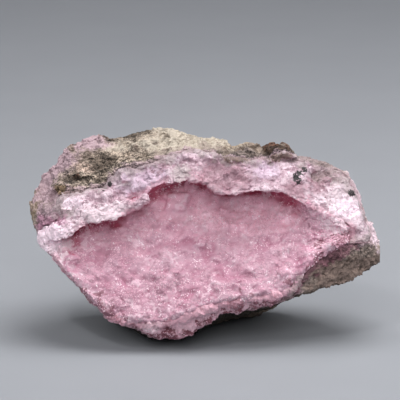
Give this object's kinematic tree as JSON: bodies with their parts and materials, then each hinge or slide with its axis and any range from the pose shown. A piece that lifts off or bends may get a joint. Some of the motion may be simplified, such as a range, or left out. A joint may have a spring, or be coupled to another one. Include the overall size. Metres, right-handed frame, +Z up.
{
  "type": "cobaltoan calcite specimen",
  "caption": "Hand-sized mineral specimen: broken host rock and a band of pale calcite around a hollow lined with a crust of sugary pink crystals, resting on a flat.",
  "frame": {"origin": "middle of the bounding box's underside, on the flat that the specimen rests on", "axes": "+Z up, +X along the specimen's length to the right of its show side, -Y out of the hollow on the show side"},
  "size_m": [0.0928, 0.048, 0.0523],
  "materials": {
    "host_rock": "dry broken dolomitic rock, grey-brown to cream, with rust stains",
    "calcite": "granular cleaved calcite, white to pale pink, softly glossy on the cleavage faces",
    "druse": "sugary crust of rose-pink calcite crystals that sparkle"
  },
  "bodies": {
    "root": {"host_rock": "host_rock", "calcite_band": "calcite", "pink_druse": "druse"}
  },
  "joints": []
}
